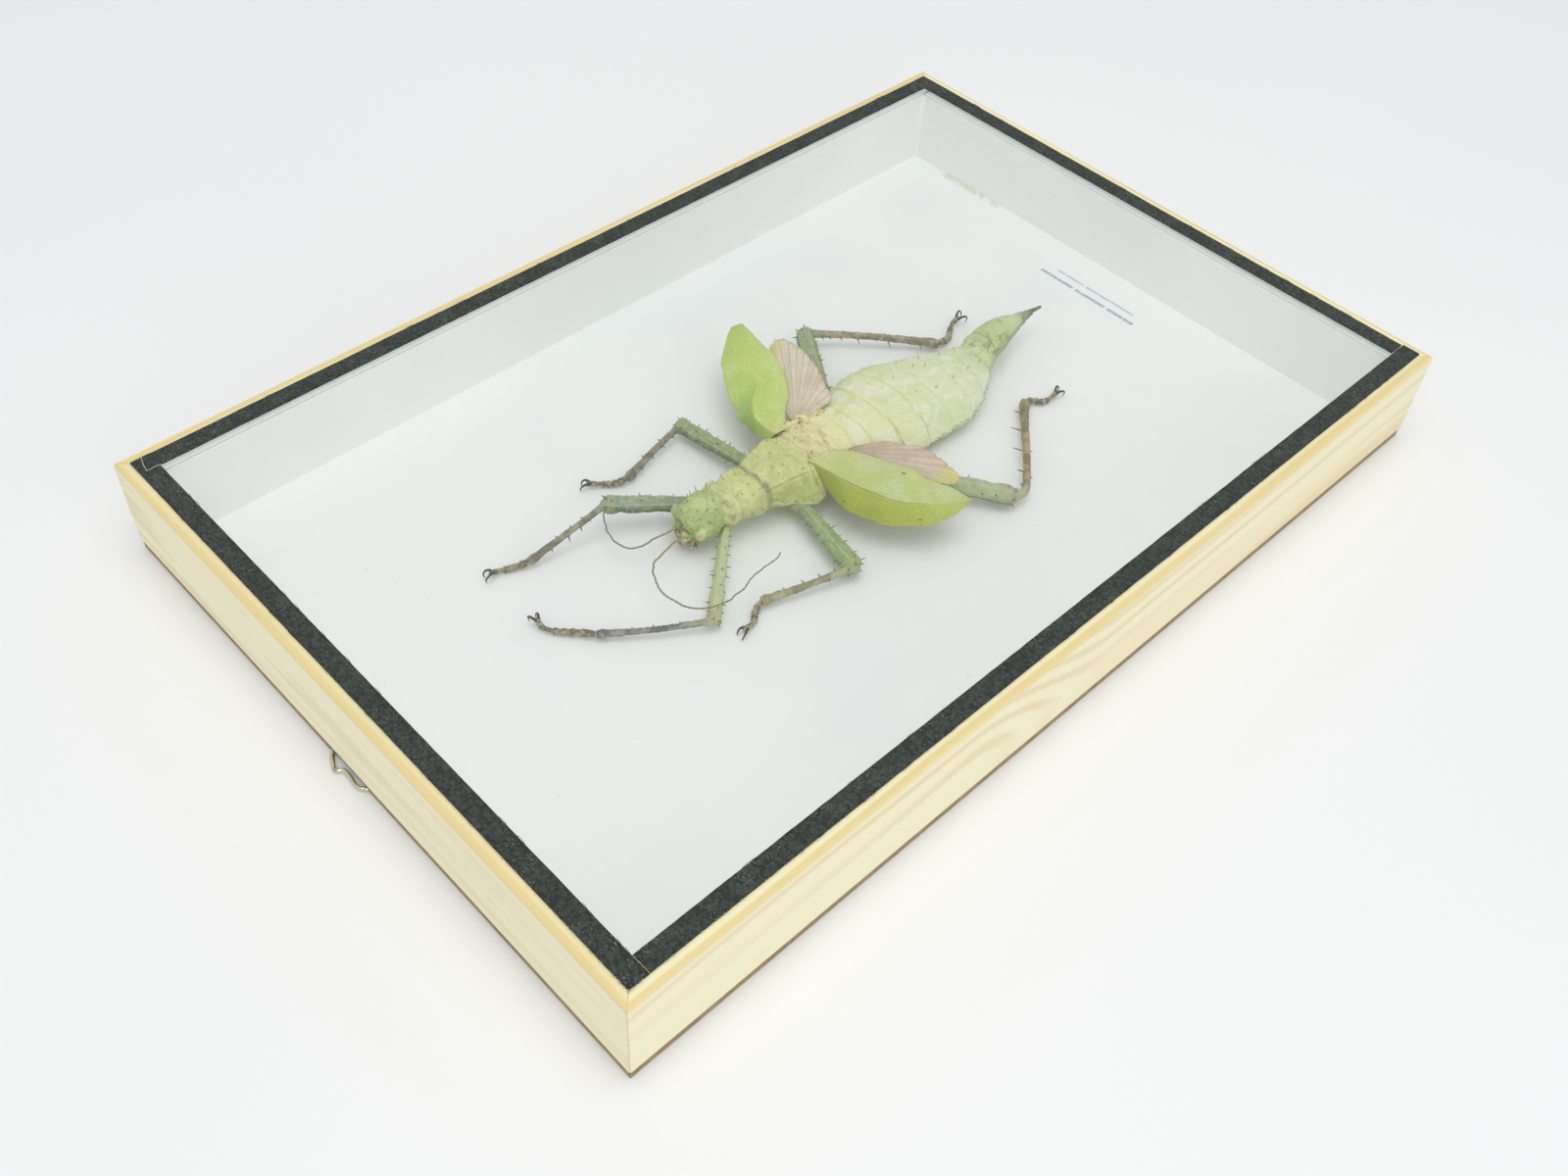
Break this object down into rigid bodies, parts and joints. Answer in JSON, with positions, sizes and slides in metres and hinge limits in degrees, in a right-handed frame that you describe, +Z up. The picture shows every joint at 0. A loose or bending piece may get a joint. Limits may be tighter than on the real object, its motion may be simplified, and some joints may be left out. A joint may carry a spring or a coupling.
{
  "type": "framed jungle nymph",
  "caption": "Large green stick insect with half-spread wings, fixed on white card in a shallow glazed pine box frame with taped edges and a wire hanging loop.",
  "frame": {"origin": "centre of the underside of the whole object's box, on the surface that the frame lies on", "axes": "+Z up through the glass, +Y along the long sides towards the hanging loop and the insect's head, +X towards the insect's right side"},
  "size_m": [0.2, 0.3023, 0.0311],
  "materials": {
    "pine": "pale sanded pine, clear satin lacquer, fine tan grain",
    "glass": "clear polished",
    "cloth_tape": "black woven bookbinding cloth",
    "white_card": "matt white",
    "hardboard": "raw brown hardboard",
    "steel": "bright drawn wire",
    "paper": "matt, with plain ruled lines",
    "cuticle": "dry insect cuticle, green to yellow, pink hind wings, brown shins"
  },
  "bodies": {
    "root": {"rail_top": "pine", "rail_bottom": "pine", "rail_left": "pine", "rail_right": "pine", "glass_pane": "glass", "tape_top": "cloth_tape", "tape_bottom": "cloth_tape", "tape_left": "cloth_tape", "tape_right": "cloth_tape", "liner_top": "white_card", "liner_bottom": "white_card", "liner_left": "white_card", "liner_right": "white_card", "backing_card": "white_card", "back_board": "hardboard", "brad_1": "steel", "brad_2": "steel", "brad_3": "steel", "brad_4": "steel", "brad_5": "steel", "brad_6": "steel", "brad_7": "steel", "hanging_loop": "steel", "label_slip": "paper", "insect": "cuticle"}
  },
  "joints": []
}
